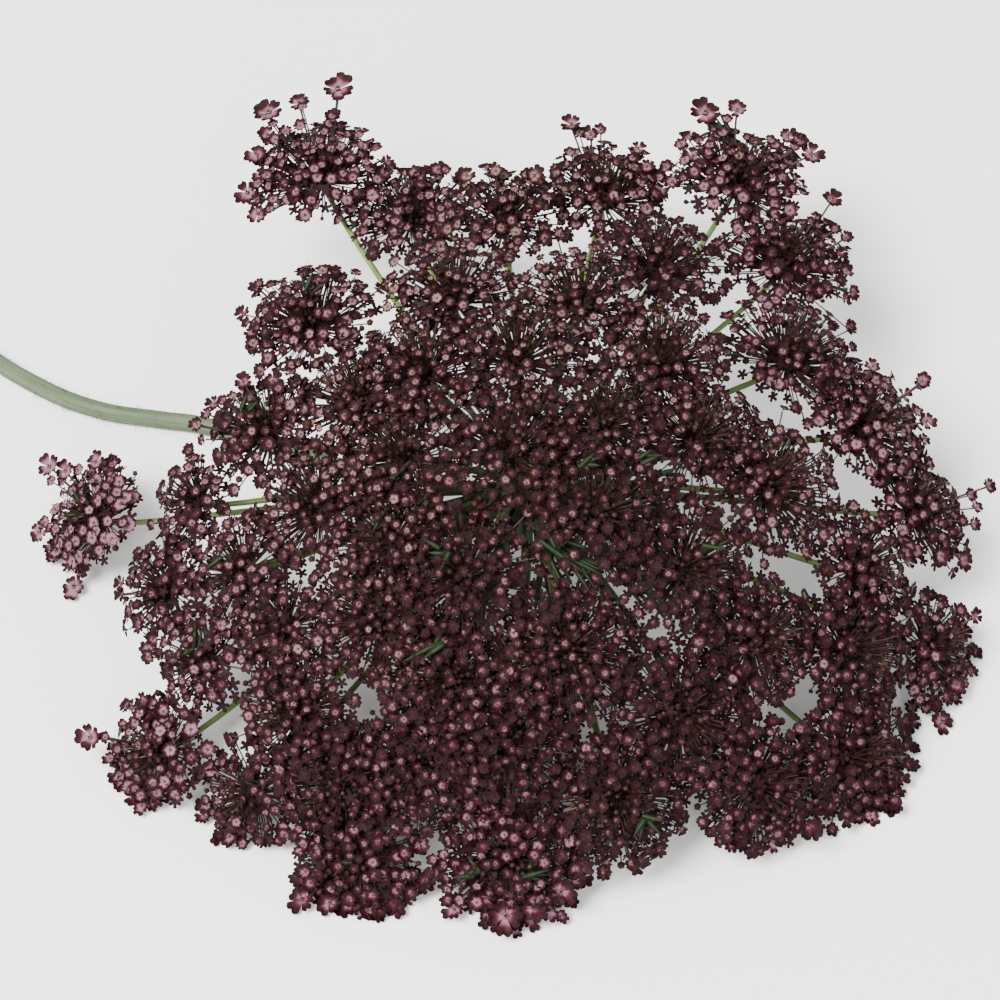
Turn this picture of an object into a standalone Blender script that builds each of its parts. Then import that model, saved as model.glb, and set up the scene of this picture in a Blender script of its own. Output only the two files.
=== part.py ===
"""A dark queen anne's lace flower head, cut with its stem and laid on a table.

The head is a compound umbel. Many thin rays grow from one swollen end of the stem, the
receptacle, and each carries an umbellet, a small umbrella of florets. Forked bracts grow
under the rays. The flower lies with its head face up: the near part of the rim rests on
the table, and the stem bends down from the head and runs along the table to its cut end.

Lengths are metres and +Z is up. The origin is on the table, under the middle of the
whole flower, and the head leans towards -Y.
"""

import math

import bmesh
import bpy
from mathutils import Matrix, Vector, geometry

MM = 0.001
GAP = 0.3 * MM
SMOOTH_UP_TO = math.radians(40)
UP = Vector((0, 0, 1))

# The hub is the middle of the receptacle, where all rays meet.
HUB = Vector((25.7 * MM, -21.5 * MM, 20.0 * MM))
HEAD_LEAN = math.radians(10)
RECEPTACLE_RADIUS = 4.15 * MM

# The umbel is a low dome, measured from the hub along the head's axis.
CROWN_HEIGHT = 20 * MM
RIM_REACH = 52 * MM
RIM_DROOP = 31 * MM
BACK_RIM_RISE = -6 * MM
SINE_WHERE_BACK_STARTS = 0.4

# Each umbellet: bearing in degrees anticlockwise from +X, and reach from the axis in millimetres.
UMBELLETS = (
    (250, 6), (101, 7.5), (349, 9.5), (301, 15.5), (153, 14.5), (199, 16), (29, 19),
    (70, 19), (356, 20.5), (249, 22), (222, 22.5), (116, 22), (169, 21.5), (316, 26),
    (199, 27.5), (279, 29), (232, 30), (350, 30), (60, 33.5), (253, 32.5), (173, 33),
    (143, 34.5), (319, 36.5), (216, 37), (27, 37.5), (266, 38), (299, 38), (94, 41),
    (201, 38), (251, 41), (182, 42), (345, 42.5), (228, 42), (14, 44), (284, 43.5),
    (109, 48), (332, 45), (209, 46), (240, 45.5), (78, 50), (194, 47), (267, 48),
    (306, 47.5), (2, 49.5), (48, 51), (246, 51), (228, 51), (321, 51.5), (343, 53.5),
    (175, 56), (215, 56), (61, 58.5), (118, 59),
)
INNER_SIZE = 6.5 * MM
OUTER_SIZE = 9.0 * MM
NEIGHBOUR_SHARE = 0.52

# An umbellet's outline as fractions of its size: height over the ray's end, then radius.
UMBELLET_PROFILE = ((0.12, 0.30), (0.40, 1.0), (0.55, 0.97), (0.70, 0.55))
UMBELLET_TOP = 0.76
LEAN_OF_RIM_UMBELLETS = 1.05
UPRIGHT_AT_BACK = 0.8
PRESSED_IN = 0.7 * MM

RAY_RADIUS = 0.5 * MM
RAY_STEPS = 5
RAY_START_PULL = 0.35
RAY_END_PULL = 4 * MM
LOWEST_START_ANGLE = math.radians(102)
START_SPACING = math.radians(17.5)
SPREADING_ROUNDS = 300
SIDES = 8
LEAST_SIDE_HINT = 0.2

# The stem's route: where it passes, in millimetres from the point on the table under the hub.
STEM_RADIUS = 1.35 * MM
STEM_ROUTE = (
    (0, 1.3, 13), (-2.2, 3.6, 7.4), (-8, 9, 3.1), (-16, 14.8, 1.5), (-29, 22, 1.35),
    (-43, 27.4, 1.35), (-50, 28.8, 1.35), (-58, 30.4, 1.35), (-66, 34.2, 1.35),
    (-76, 42, 1.35), (-88, 56, 1.35), (-100, 75, 1.35), (-110, 96, 1.35),
)
# The receptacle and the neck below it: distance along the head's axis, then radius, in millimetres.
RECEPTACLE_PROFILE = (
    (3.9, 1.45), (3.2, 2.65), (1.8, 3.75), (0, 4.15), (-1.8, 3.7), (-3.4, 2.5), (-5.2, 1.65),
)
STEM_STEPS = 4
# Each bend point of the stem pulls by this share of the way between its neighbours.
BEND_PULL = 1 / 6

BRACT_BEARINGS = (20, 78, 196, 240, 285, 332)
BRACT_LENGTH = 20 * MM
BRACT_THICKNESS = 0.6 * MM
BRACT_HALF_WIDTH = 0.7 * MM
TIP_WIDTH_SHARE = 0.6
# Paired side lobes of a bract: place along it, then length, as fractions of its length.
BRACT_LOBES = ((0.36, 0.36), (0.60, 0.28))
LOBE_HALF_WIDTH = 0.5 * MM
LOBE_ANGLE = math.radians(32)
BRACT_ROOT_RADIUS = 4.3 * MM
BRACT_ROOT_DROP = 2.6 * MM
BRACT_SLOPE = 0.30
BRACT_SAG = 10.0


def clear_scene():
    """Start from an empty scene."""
    for thing in list(bpy.data.objects):
        bpy.data.objects.remove(thing, do_unlink=True)


def make_material(name, colour, roughness):
    """A plain Principled material."""
    material = bpy.data.materials.new(name)
    material.use_nodes = True
    shader = material.node_tree.nodes["Principled BSDF"]
    shader.inputs["Base Color"].default_value = (*colour, 1)
    shader.inputs["Roughness"].default_value = roughness
    shader.inputs["Metallic"].default_value = 0
    return material


def add_object(name, data, material):
    """Link mesh or curve data to the scene as a named object with its own material."""
    data.materials.append(material)
    thing = bpy.data.objects.new(name, data)
    bpy.context.collection.objects.link(thing)
    return thing


def mesh_from(name, bm):
    """Turn a bmesh into smooth-shaded mesh data with its faces pointing out."""
    bmesh.ops.recalc_face_normals(bm, faces=bm.faces)
    mesh = bpy.data.meshes.new(name)
    bm.to_mesh(mesh)
    bm.free()
    mesh.shade_smooth()
    mesh.set_sharp_from_angle(angle=SMOOTH_UP_TO)
    return mesh


def head_to_world(point):
    """Take a point measured from the hub, with +Z along the head's axis, to the world."""
    return HUB + Matrix.Rotation(HEAD_LEAN, 3, "X") @ Vector(point)


def head_direction(direction):
    """Take a direction from the head's own axes to the world's."""
    return (Matrix.Rotation(HEAD_LEAN, 3, "X") @ Vector(direction)).normalized()


def outward(bearing):
    """The level direction away from the head's axis at a bearing in degrees."""
    angle = math.radians(bearing)
    return Vector((math.cos(angle), math.sin(angle), 0))


def rise_at(bearing, reach):
    """Height of the dome over the hub. The rim droops less at the back, off the table."""
    rise = CROWN_HEIGHT - RIM_DROOP * (reach / RIM_REACH) ** 2
    at_back = math.sin(math.radians(bearing)) > SINE_WHERE_BACK_STARTS
    return max(rise, BACK_RIM_RISE) if at_back else rise


def ray_end(bearing, reach):
    """Where a ray ends and its umbellet begins, in world space."""
    spot = outward(bearing) * reach
    spot.z = rise_at(bearing, reach)
    return head_to_world(spot)


def umbellet_axis(bearing, reach):
    """The way an umbellet faces: up at the crown, and outward to the rim but for the back."""
    backness = max(0, math.sin(math.radians(bearing)))
    lean = LEAN_OF_RIM_UMBELLETS * reach / RIM_REACH * (1 - UPRIGHT_AT_BACK * backness)
    return head_direction(UP + outward(bearing) * lean)


def umbellet_sizes(ends):
    """Radius of each umbellet: larger to the rim, and never into its nearest neighbour."""
    sizes = []
    for number, (_, reach) in enumerate(UMBELLETS):
        wanted = INNER_SIZE + (OUTER_SIZE - INNER_SIZE) * min(1, reach * MM / RIM_REACH)
        others = ends[:number] + ends[number + 1 :]
        room = min((ends[number] - other).length for other in others)
        sizes.append(min(wanted, NEIGHBOUR_SHARE * room))
    return sizes


def ray_starts():
    """Directions in which the rays leave the receptacle, spread so that none touch."""
    count = len(UMBELLETS)
    order = sorted(range(count), key=lambda number: UMBELLETS[number][1])
    starts = [None] * count
    for place, number in enumerate(order):
        share = (place + 0.5) / count
        height = 1 - share * (1 - math.cos(LOWEST_START_ANGLE))
        level = math.sqrt(1 - height * height)
        start = outward(UMBELLETS[number][0]) * level
        start.z = height
        starts[number] = start
    for _ in range(SPREADING_ROUNDS):
        spread_once(starts)
    return starts


def spread_once(starts):
    """Push each pair of directions that are too close a little way apart."""
    for first in range(len(starts)):
        for second in range(first):
            apart = starts[first] - starts[second]
            shortage = START_SPACING - apart.length
            if shortage > 0:
                push = apart.normalized() * shortage / 2
                starts[first] = (starts[first] + push).normalized()
                starts[second] = (starts[second] - push).normalized()
    lowest = math.cos(LOWEST_START_ANGLE)
    for number, start in enumerate(starts):
        if start.z < lowest:
            level = Vector((start.x, start.y, 0)).normalized() * math.sqrt(1 - lowest * lowest)
            starts[number] = Vector((level.x, level.y, lowest))


def ray_path(start_direction, end, axis):
    """Points along one ray, from just over the receptacle to the umbellet."""
    first = HUB + start_direction * (RECEPTACLE_RADIUS + GAP)
    span = (end - first).length
    leaving = first + start_direction * span * RAY_START_PULL
    arriving = end - axis * RAY_END_PULL
    return geometry.interpolate_bezier(first, leaving, arriving, end, RAY_STEPS + 1)


def add_ring(bm, centre, axis, radius, side_hint):
    """Add one ring of vertices round a centre, turned the same way as the others."""
    across = (side_hint - axis * side_hint.dot(axis)).normalized()
    along = axis.cross(across)
    ring = []
    for side in range(SIDES):
        angle = math.tau * side / SIDES
        offset = across * math.cos(angle) + along * math.sin(angle)
        ring.append(bm.verts.new(centre + offset * radius))
    return ring


def join_rings(bm, rings, top):
    """Skin the rings, close the first with one face and the last with a point."""
    for below, above in zip(rings, rings[1:]):
        for side in range(SIDES):
            after = (side + 1) % SIDES
            bm.faces.new((below[side], below[after], above[after], above[side]))
    bm.faces.new(list(reversed(rings[0])))
    point = bm.verts.new(top)
    for side in range(SIDES):
        bm.faces.new((rings[-1][side], rings[-1][(side + 1) % SIDES], point))


def umbellet_bmesh(start_direction, end, axis, size):
    """One ray with its umbellet: a thin tube that opens into a shallow domed cone."""
    bm = bmesh.new()
    path = ray_path(start_direction, end, axis)
    level = start_direction.cross(UP)
    side_hint = level if level.length > LEAST_SIDE_HINT else Vector((1, 0, 0))
    rings = []
    for step, point in enumerate(path):
        if step == 0:
            heading = start_direction
        elif step == RAY_STEPS:
            heading = axis
        else:
            heading = (path[step + 1] - path[step - 1]).normalized()
        rings.append(add_ring(bm, point, heading, RAY_RADIUS, side_hint))
    for height, radius in UMBELLET_PROFILE:
        rings.append(add_ring(bm, end + axis * height * size, axis, radius * size, side_hint))
    join_rings(bm, rings, end + axis * UMBELLET_TOP * size)
    return bm


def lowest_point(bm):
    """Height of a bmesh's lowest vertex."""
    return min(vert.co.z for vert in bm.verts)


def make_umbellet(number, start_direction, size, material):
    """Build one umbellet, held up by the table where it would dip through it."""
    bearing, reach = UMBELLETS[number]
    end = ray_end(bearing, reach * MM)
    axis = umbellet_axis(bearing, reach * MM)
    bm = umbellet_bmesh(start_direction, end, axis, size)
    dip = -PRESSED_IN - lowest_point(bm)
    if dip > 0:
        bm.free()
        bm = umbellet_bmesh(start_direction, end + UP * dip, axis, size)
    for vert in bm.verts:
        vert.co.z = max(vert.co.z, 0)
    name = f"umbellet_{number + 1:02d}"
    return add_object(name, mesh_from(name, bm), material)


def make_umbellets(material):
    """Build every ray with its umbellet."""
    ends = [ray_end(bearing, reach * MM) for bearing, reach in UMBELLETS]
    sizes = umbellet_sizes(ends)
    starts = ray_starts()
    for number, start in enumerate(starts):
        make_umbellet(number, head_direction(start), sizes[number], material)


def stem_points():
    """Centre line of the receptacle and stem, as points with a radius each."""
    points = []
    for along, radius in RECEPTACLE_PROFILE:
        points.append((head_to_world((0, 0, along * MM)), radius * MM))
    route = [points[-1][0]]
    foot = Vector((HUB.x, HUB.y, 0))
    for x, y, z in STEM_ROUTE:
        route.append(foot + Vector((x, y, z)) * MM)
    route.insert(0, points[-3][0])
    route.append(2 * route[-1] - route[-2])
    for number in range(1, len(route) - 2):
        first, second = route[number], route[number + 1]
        leaving = first + (second - route[number - 1]) * BEND_PULL
        arriving = second - (route[number + 2] - first) * BEND_PULL
        stretch = geometry.interpolate_bezier(first, leaving, arriving, second, STEM_STEPS + 1)
        points += [(point, STEM_RADIUS) for point in stretch[1:]]
    return points


def make_stem(material):
    """The stem with its swollen upper end, as one tube of changing thickness."""
    curve = bpy.data.curves.new("stem", "CURVE")
    curve.dimensions = "3D"
    curve.bevel_depth = STEM_RADIUS
    curve.bevel_resolution = 4
    curve.use_fill_caps = True
    points = stem_points()
    spline = curve.splines.new("POLY")
    spline.points.add(len(points) - 1)
    for knot, (point, radius) in zip(spline.points, points):
        height = max(point.z, radius) if radius == STEM_RADIUS else point.z
        knot.co = (point.x, point.y, height, 1)
        knot.radius = radius / STEM_RADIUS
    return add_object("stem", curve, material)


def bract_outline():
    """Half the outline of a bract with its forked lobes, from root to tip, along +X."""
    half = [Vector((0, BRACT_HALF_WIDTH, 0))]
    for place, length in BRACT_LOBES:
        along = Vector((math.cos(LOBE_ANGLE), math.sin(LOBE_ANGLE), 0))
        root = Vector((place * BRACT_LENGTH, BRACT_HALF_WIDTH, 0))
        tip = root + along * length * BRACT_LENGTH
        edge = Vector((-along.y, along.x, 0)) * LOBE_HALF_WIDTH
        opening = Vector((LOBE_HALF_WIDTH / math.sin(LOBE_ANGLE), 0, 0))
        half += [root - opening, tip + edge, tip - edge, root + opening]
    half.append(Vector((BRACT_LENGTH, BRACT_HALF_WIDTH * TIP_WIDTH_SHARE, 0)))
    return half


def bent_bract_point(point, bearing, layer):
    """Bend a flat outline point outward and down from the receptacle."""
    drop = BRACT_SLOPE * point.x + BRACT_SAG * point.x * point.x
    away = outward(bearing)
    sideways = UP.cross(away)
    spot = away * (BRACT_ROOT_RADIUS + point.x) + sideways * point.y
    spot.z = -BRACT_ROOT_DROP - drop + layer
    return head_to_world(spot)


def make_bract(name, bearing, material):
    """One thin forked bract as a closed solid."""
    half = bract_outline()
    outline = half + [Vector((point.x, -point.y, 0)) for point in reversed(half)]
    bm = bmesh.new()
    bottom = [bm.verts.new(point) for point in outline]
    face = bm.faces.new(bottom)
    grown = bmesh.ops.extrude_face_region(bm, geom=[face])
    upper = {item for item in grown["geom"] if isinstance(item, bmesh.types.BMVert)}
    for vert in bm.verts:
        layer = BRACT_THICKNESS if vert in upper else 0
        vert.co = bent_bract_point(vert.co, bearing, layer)
    bmesh.ops.triangulate(bm, faces=bm.faces)
    return add_object(name, mesh_from(name, bm), material)


def make_bracts(material):
    """The bracts stand in a ring under the rays, apart from where the stem bends away."""
    for number, bearing in enumerate(BRACT_BEARINGS):
        make_bract(f"bract_{number + 1}", bearing, material)


def build():
    """Build the whole flower."""
    clear_scene()
    floret_colour = make_material("floret_burgundy", (0.10, 0.022, 0.038), 0.75)
    stem_colour = make_material("stem_green", (0.24, 0.27, 0.18), 0.7)
    bract_colour = make_material("bract_green", (0.02, 0.06, 0.022), 0.7)
    make_stem(stem_colour)
    make_bracts(bract_colour)
    make_umbellets(floret_colour)


build()
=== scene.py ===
"""The looks of a dark queen anne's lace flower that lies face up on a pale table.

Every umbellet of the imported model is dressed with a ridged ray, bracteoles, pedicels and
separate florets of five notched petals. Lengths are metres, in the frame's own axes. The
shapes of petals and other small repeated things have a length of about 1 before they are scaled.
"""

import math

import bpy
import numpy as np
from mathutils import Matrix, Vector, geometry


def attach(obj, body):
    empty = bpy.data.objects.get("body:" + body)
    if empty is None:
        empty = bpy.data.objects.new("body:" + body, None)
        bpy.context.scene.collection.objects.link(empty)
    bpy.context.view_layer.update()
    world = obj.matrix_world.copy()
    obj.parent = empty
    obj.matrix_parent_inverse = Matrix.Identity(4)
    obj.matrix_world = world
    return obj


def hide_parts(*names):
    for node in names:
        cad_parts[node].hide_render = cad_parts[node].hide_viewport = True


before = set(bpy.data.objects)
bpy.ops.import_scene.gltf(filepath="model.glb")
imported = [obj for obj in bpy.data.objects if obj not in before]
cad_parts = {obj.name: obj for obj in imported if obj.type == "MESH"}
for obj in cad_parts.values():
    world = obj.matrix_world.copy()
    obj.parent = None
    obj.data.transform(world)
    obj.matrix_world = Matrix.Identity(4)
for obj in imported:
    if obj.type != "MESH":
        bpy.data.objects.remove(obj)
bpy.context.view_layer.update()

MM = 0.001
UP = Vector((0, 0, 1))
GOLDEN_ANGLE = math.pi * (3 - math.sqrt(5))
ANY_SPIN = 6.0
TINY = 1e-6

# The head's own frame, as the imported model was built.
HUB = Vector((25.7 * MM, -21.5 * MM, 20.0 * MM))
HEAD_LEAN = math.radians(10)
HEAD_TURN = Matrix.Rotation(HEAD_LEAN, 3, "X")
RIM_REACH = 52 * MM
LEAN_OF_RIM_UMBELLETS = 1.05
UPRIGHT_AT_BACK = 0.8

# How an umbellet is read from its node. Its foot is this deep and its cap begins at this share of the
# way out. Seen from the cap's top, its rim is flatter than this slope and no wider than this. The top
# stands this high over the ray's end, as a share of the rim's radius.
FOOT_DEPTH = 0.4 * MM
CAP_STARTS = 0.7
CAP_SLOPE = 0.6
CAP_WIDEST = 10.5 * MM
CAP_TOP = 0.76
READING_ROUNDS = 4

# Camera: where the photograph's middle lies from the hub, and how much it takes in.
CAMERA_ELEVATION = math.radians(50)
CAMERA_DISTANCE = 0.50
PHOTO_WIDTH = 128 * MM
MIDDLE_RIGHT_OF_HUB = -3.6 * MM
MIDDLE_ABOVE_HUB = -1.0 * MM
SENSOR_WIDTH = 36.0
VIEW_RIGHT = Vector((1, 0, 0))
VIEW_UP = Vector((0, math.sin(CAMERA_ELEVATION), math.cos(CAMERA_ELEVATION)))
VIEW_BACK = Vector((0, -math.cos(CAMERA_ELEVATION), math.sin(CAMERA_ELEVATION)))

# Soft lights: name, place, width and power in watts.
LIGHTS = (("key", (-0.5, -0.5, 1.1), 0.6, 52), ("front", (0.35, -1.1, 0.7), 0.8, 10))
DAYLIGHT = 1.3

# The table, and how near it things may come.
TABLE_SIZE = 6.0
TABLE_DROP = 0.1 * MM
FLOOR_CLEARANCE = 0.05 * MM
LOWEST_FLORET = 1.1 * MM
NEAR_TABLE = 3.5 * MM
CLEAR_OF_TABLE = 12 * MM

# The stem's route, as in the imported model: millimetres from the point on the table under the hub.
STEM_RADIUS = 1.2 * MM
STEM_ROUTE = (
    (0, 1.3, 13), (-2.2, 3.6, 7.4), (-8, 9, 3.1), (-16, 14.8, 1.5), (-29, 22, 1.22),
    (-43, 27.4, 1.22), (-50, 28.8, 1.22), (-58, 30.4, 1.22), (-66, 34.2, 1.22),
    (-76, 42, 1.22), (-88, 56, 1.22), (-100, 75, 1.22), (-110, 96, 1.22),
)
# The receptacle and the neck below it: distance along the head's axis, then radius, in millimetres.
RECEPTACLE_PROFILE = (
    (3.92, 0.04), (3.8, 1.45), (3.2, 2.6), (1.8, 3.7), (0, 4.1), (-1.8, 3.65), (-3.4, 2.5), (-5.2, 1.65),
)
STEM_STEPS = 10
STEM_SIDES = 30
STEM_RIDGES = 3
STEM_RIDGE = 0.07
STEM_SEED = 41
STEM_HAIRS = 420
HAIRLESS_RINGS = 9
CUT_RIM = 0.8
CUT_HOLLOW = 0.12 * MM

BRACT_BEARINGS = (20, 78, 196, 240, 285, 332)
BRACT_LENGTH = 20.8 * MM
BRACT_ROOT_RADIUS = 2.9 * MM
BRACT_ROOT_DROP = 2.4 * MM
BRACT_RISE = 0.3 * MM
BRACT_SLOPE = 0.30
BRACT_SAG = 10.0
MIDRIB_WIDTH = 1.3 * MM
LOBE_WIDTH = 0.85 * MM
FORK_WIDTH = 0.6 * MM
LOBE_STEPS = 7
LOBE_ANGLE = 0.55
FORK_TURN = 0.42
# Paired side lobes of a bract: place along it, then length, as fractions of its length.
BRACT_LOBES = ((0.26, 0.30), (0.44, 0.42), (0.64, 0.34))

RAY_RADIUS = 0.43 * MM
RAY_TAPER = 0.2
RAY_END_SWELL = 1.25
RAY_START_PULL = 0.35
RAY_END_PULL = 4 * MM
RAY_ROOT_DEPTH = 0.9 * MM
RAY_STEPS = 14
RAY_SIDES = 12
RAY_RIDGE = 0.10
RAY_BRISTLES = 26
BRACTEOLES = 7
BRACTEOLE_WIDTH = 0.62 * MM

# Stretches of the stalks' colour ramp, which runs from green at the hub to maroon at the florets.
RAY_COLOURS = (0.0, 0.45)
BRISTLE_COLOURS = (0.1, 0.2)
PEDICEL_COLOURS = (0.55, 1.0)
UNDER_STALK_COLOURS = (0.62, 1.0)
THREAD_COLOURS = (0.62, 0.82)

# Florets: length of a petal at the crown of the head and at its rim, how far apart they stand, and
# the share of the spacing squared that the cell of each one covers.
CROWN_PETAL = 0.86 * MM
RIM_PETAL = 0.96 * MM
FLORET_SPACING = 1.62 * MM
HEX_CELL = 0.87
FEWEST_FLORETS = 16
FIRST_SEED = 700
# Umbellets whose florets are larger, towards the outline, and by how much.
LARGE_FLORETED = (21, 22, 28, 34, 36, 40, 42, 44, 45, 46, 50, 51, 52, 53)
LARGER = 1.13
LEAN_TO_VIEW = 0.28
# Petals this long have a finer mesh.
MIDDLE_FROM = 1.05 * MM
FINE_FROM = 1.6 * MM
# Petals are broad in small florets and narrower from this length.
NARROW_FROM = 1.3 * MM
BROAD_PETAL = 1.02
NARROW_PETAL = 0.88
STAMEN_ODDS = 0.18

# The open florets stand on a spiral over a low dome, whose heights are shares of its spread. Along
# the spiral, from 0 in the middle to 1, come buds, open florets, then radiant and outstanding ones.
DOME_TOP = 0.62
DOME_DROOP = 0.38
SPIRAL_POWER = 0.56
STAND_OUT_FROM = 0.9
STAND_OUT_ODDS = 0.45
RADIANT_FROM = 0.72
BUDS_UP_TO = 0.22
BUD_ODDS = 0.45

# The florets under them, painted dark as shade: how many for each open one, and more of them in front.
UNDER_SHARE = 1.15
FRONT_UNDER_SHARE = 1.7
FRONT_UMBELLETS = (16, 17, 20, 23, 26, 27, 30, 33, 35, 37, 39, 42, 43, 46, 48)
UNDER_REACH = 0.98
UNDER_TOP = 0.44
UNDER_DROOP = 0.36
UNDER_LEAST_HEIGHT = 0.8 * MM
UNDER_BUD_ODDS = 0.25
THREADS = 60

# How wide the florets of each umbellet spread, in millimetres, as the photograph shows them.
USUAL_SPREAD = 8.3
SPREADS = {
    1: 8.8, 2: 8.6, 4: 9.2, 5: 8.6, 7: 8.8, 8: 8.2, 9: 8.8, 10: 9.4, 12: 8.4, 13: 8.6, 14: 9.0, 16: 9.4,
    18: 9.2, 19: 8.2, 21: 7.8, 22: 8.8, 24: 7.6, 25: 9.4, 26: 9.2, 27: 9.4, 28: 7.6, 29: 7.4, 30: 8.8,
    31: 6.2, 32: 8.0, 33: 8.0, 34: 9.2, 35: 9.0, 36: 8.4, 37: 8.8, 38: 6.9, 39: 8.4, 40: 8.6, 41: 7.1,
    42: 9.0, 43: 8.8, 44: 8.0, 45: 9.2, 46: 8.6, 47: 7.2, 48: 8.8, 49: 7.2, 50: 8.2, 51: 7.4, 52: 9.2,
    53: 9.2,
}

# How pale each umbellet's florets are, where it differs from the usual: partly the florets' own colour,
# partly painted shade, as the umbellets in the middle and front of the head are set darker where shade falls.
USUAL_TONE = 0.46
TONES_WITH_PAINTED_SHADE = {
    1: 0.28, 2: 0.48, 3: 0.28, 4: 0.16, 6: 0.36, 9: 0.40, 10: 0.14, 11: 0.34, 12: 0.54, 14: 0.22,
    16: 0.24, 17: 0.34, 19: 0.26, 20: 0.24, 22: 0.50, 23: 0.26, 26: 0.20, 27: 0.20, 28: 0.62,
    30: 0.24, 33: 0.36, 34: 0.74, 35: 0.14, 36: 0.62, 37: 0.26, 39: 0.24, 40: 0.62, 42: 0.44,
    43: 0.32, 44: 0.56, 45: 0.48, 46: 0.42, 47: 0.46, 48: 0.28, 50: 0.92, 51: 0.64, 52: 0.68, 53: 0.70,
}
# The dark tone of the under-layer's florets: painted shade.
UNDER_PAINTED_SHADE_TONE = 0.0

# The hue of the petals runs from brown at 0 to magenta at 1. The crown is browner than the rim.
USUAL_HUE = 0.5
CROWN_HUE = 0.10
RIM_HUE = 0.62
HUES = {28: 0.25, 35: 0.25, 40: 0.35, 42: 0.80, 43: 0.7, 46: 0.75, 48: 0.65, 50: 0.65, 52: 0.55, 53: 0.6}

# Long-stalked radiant florets that stand out from an umbellet: its number, then how far right
# and up from the umbellet's middle in the photograph and the petal length, in millimetres.
STRAYS = (
    (53, -6.7, 7.0, 1.9), (53, -2.6, 8.3, 1.3), (53, 2.6, 10.2, 1.9), (53, -8.3, 1.3, 1.4),
    (53, -9.6, -3.8, 1.5), (53, 1.9, 6.4, 1.1), (53, -6.0, -2.0, 1.2), (53, -6.9, 4.0, 1.1),
    (52, -4.7, 7.7, 1.9), (52, -0.4, 8.1, 1.3), (52, 6.4, 4.5, 1.2), (52, 9.6, 2.2, 1.5),
    (52, -6.4, 1.9, 1.1), (52, 8.0, 4.0, 1.1), (45, 5.8, 7.0, 1.3), (45, 7.6, 2.0, 0.9),
    (40, -4.5, 8.3, 1.3), (40, -1.9, 7.0, 1.1), (40, 4.5, 5.1, 1.0), (40, 5.6, 2.6, 1.0),
    (28, -5.1, 4.5, 1.2), (28, -1.3, 5.1, 1.0), (28, 3.8, 4.5, 1.2), (36, 3.8, 5.1, 1.2),
    (36, 0.6, 4.6, 1.0), (50, -5.1, 6.0, 1.5), (50, -6.4, -2.6, 1.2), (50, -1.9, -10.0, 1.4),
    (50, 1.0, 6.6, 1.2), (50, -3.0, 5.4, 1.2), (38, -6.0, 1.5, 1.0), (51, -7.7, 1.9, 1.6),
    (51, -1.3, -7.0, 1.0), (51, 0.0, 6.0, 1.0), (44, 8.3, 2.3, 1.0), (44, 6.4, -2.6, 0.9),
    (44, 5.1, -7.3, 1.2), (49, 4.5, 3.6, 1.0), (49, 2.0, -5.1, 1.2), (49, 0.0, -10.6, 1.4),
    (49, -3.8, -10.6, 1.2), (42, -0.3, -6.4, 1.9), (42, -5.1, -1.3, 1.4), (42, 6.4, -3.4, 1.6),
    (42, 8.6, -0.8, 1.4), (42, -3.0, -4.2, 1.5), (42, 3.0, -5.4, 1.5), (46, -6.4, -4.4, 1.5),
    (46, 8.4, -2.4, 1.3), (46, -3.0, -5.0, 1.3), (46, 2.6, -5.6, 1.4), (22, -6.4, 3.2, 1.0),
    (22, -7.0, -2.6, 0.9), (21, -1.9, 5.4, 1.1), (21, 1.9, 5.4, 1.1), (21, -5.5, 2.6, 1.0),
    (21, -7.7, 0.0, 0.9), (34, 6.4, 4.5, 1.1), (34, 7.0, -0.6, 1.1), (34, 0.0, 6.4, 1.0),
    (43, 5.6, -5.0, 1.3), (43, -3.0, -5.8, 1.3), (48, 4.0, -5.6, 1.1), (47, -2.0, -5.0, 1.0),
)
STRAY_SIZE = 1.1
STRAY_RADIANT = 1.35
STRAY_THICKNESS = 1.5
STRAY_FOOT = 0.35
PEDICEL_INTO_FLORET = 0.4 * MM
# Two smaller florets stand at these shares of the way to each.
COMPANION_SHARES = (0.62, 0.82)

# Green leaf tips that show between the florets: umbellet number, how far right and up of its
# middle they start, how many, their heading from the right and its fan in degrees, and length.
GREEN_TIPS = (
    (4, -6.6, -4.0, 12, -52, 34, 6.0), (4, -4.4, -5.4, 10, -34, 26, 5.0),
    (4, -5.6, -3.6, 5, -100, 40, 3.0), (6, 0.5, -3.6, 3, 20, 40, 2.6),
    (4, -2.5, 5.1, 3, 40, 50, 2.2), (4, 4.5, 5.6, 3, 30, 40, 2.4), (20, -0.6, 5.4, 4, 230, 25, 4.0),
    (50, 0.4, -0.4, 6, 90, 120, 2.4), (47, 0.0, 2.4, 5, 20, 60, 3.0), (42, -3.8, -0.8, 4, 180, 60, 2.8),
    (42, 2.0, -0.6, 5, 10, 50, 3.0), (46, 0.0, 0.5, 4, 200, 70, 2.4), (38, 0.0, 1.2, 4, 150, 80, 2.6),
    (35, 2.4, -1.4, 5, 300, 70, 2.6), (29, 0.0, 0.0, 4, 120, 120, 2.2), (21, -1.0, 1.0, 3, 100, 80, 2.2),
    (52, -1.8, 3.8, 3, 120, 30, 2.8), (22, 0.4, 2.0, 3, 80, 60, 2.2), (14, 1.0, 2.0, 3, 20, 60, 2.6),
    (10, -2.0, 3.0, 3, 200, 60, 2.6), (11, 1.6, 2.4, 4, 250, 60, 3.0), (15, 2.0, 1.4, 2, 0, 40, 2.4),
)
GREEN_TIP_WIDTH = 0.65 * MM
GREEN_TIP_HEIGHT = 0.54

# Which of a piece's materials a shape takes.
PETAL_LOOK, CORE_LOOK = 0, 1
STALK_LOOK, BRACTEOLE_LOOK, GREEN_TIP_LOOK = 0, 1, 2
SKIN_LOOK, PITH_LOOK = 0, 1


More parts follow.
